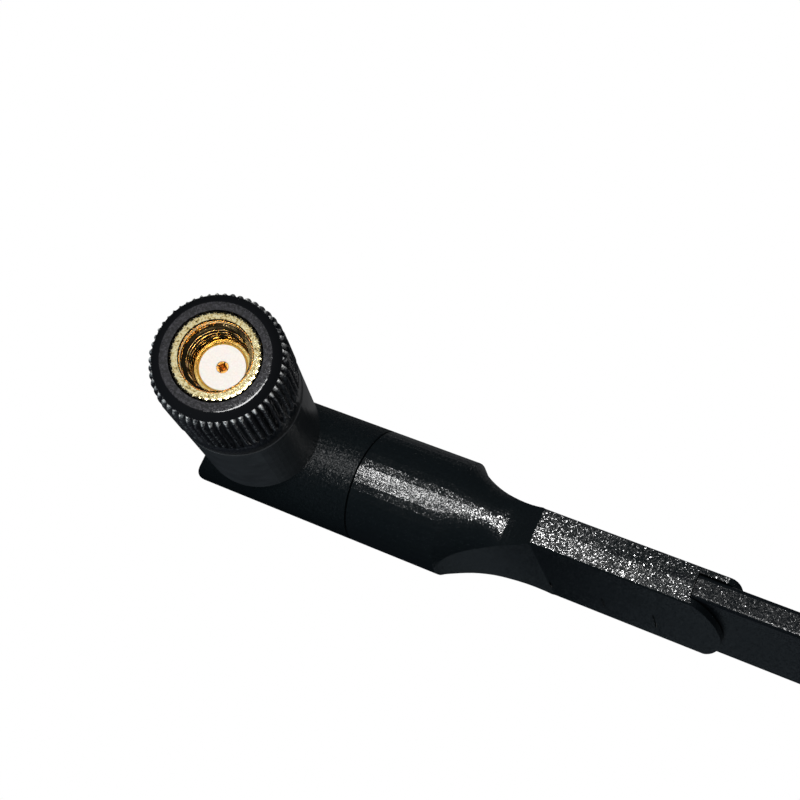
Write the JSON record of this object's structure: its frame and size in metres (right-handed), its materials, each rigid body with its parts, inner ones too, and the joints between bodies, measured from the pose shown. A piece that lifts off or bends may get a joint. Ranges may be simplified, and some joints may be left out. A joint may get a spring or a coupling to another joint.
{
  "type": "wifi antenna",
  "caption": "Flat-bladed wireless antenna with a tilt-and-swivel joint and a knurled coaxial plug, folded to its stop",
  "frame": {"origin": "centre of the coupling nut's mouth, in the plane of its front face", "axes": "+Z out of the mouth along the plug's axis, Y along the tilt joint's axis, the folded arm towards +X and 15 degrees above the XY plane"},
  "size_m": [0.1602, 0.0122, 0.0543],
  "materials": {
    "black_knurled_plastic": "satin",
    "gold_plated_nut": "plated",
    "spring_bronze": "plain",
    "gold_plated_body": "plated",
    "white_insulator": "matte",
    "gold_contact": "plated",
    "brass_ferrule": "plain",
    "black_satin_plastic": "satin",
    "cable_jacket": "matte",
    "cable_braid": "plain",
    "cable_core": "plain",
    "black_grained_plastic": "fine grain",
    "black_blade_plastic": "fine grain",
    "board_laminate": "plain",
    "printed_copper": "plain"
  },
  "bodies": {
    "plug": {"connector_body": "gold_plated_body", "dielectric": "white_insulator", "center_contact": "gold_contact", "crimp_ferrule": "brass_ferrule", "snap_ring": "spring_bronze", "stem": "black_satin_plastic", "stem_cable_jacket": "cable_jacket", "stem_cable_braid": "cable_braid", "stem_cable_core": "cable_core"},
    "nut": {"nut_grip": "black_knurled_plastic", "nut_insert": "gold_plated_nut"},
    "knuckle": {"fork": "black_grained_plastic"},
    "arm": {"housing": "black_grained_plastic", "blade": "black_blade_plastic", "antenna_board": "board_laminate", "upper_radiator": "printed_copper", "lower_radiator": "printed_copper", "arm_cable_jacket": "cable_jacket", "arm_cable_braid": "cable_braid", "arm_cable_core": "cable_core"}
  },
  "joints": [
    {"name": "nut_spin", "type": "hinge", "parent": "plug", "child": "nut", "pos_m": [0, 0, 0], "axis": [0, 0, 1], "continuous": true},
    {"name": "tilt", "type": "hinge", "parent": "plug", "child": "knuckle", "pos_m": [0, 0, -0.03512], "axis": [0, 1, 0], "range_deg": [0, 105]},
    {"name": "swivel", "type": "hinge", "parent": "knuckle", "child": "arm", "pos_m": [0.01256, 0, -0.03176], "axis": [0.9659, 0, 0.2588], "range_deg": [-85, 95]}
  ]
}
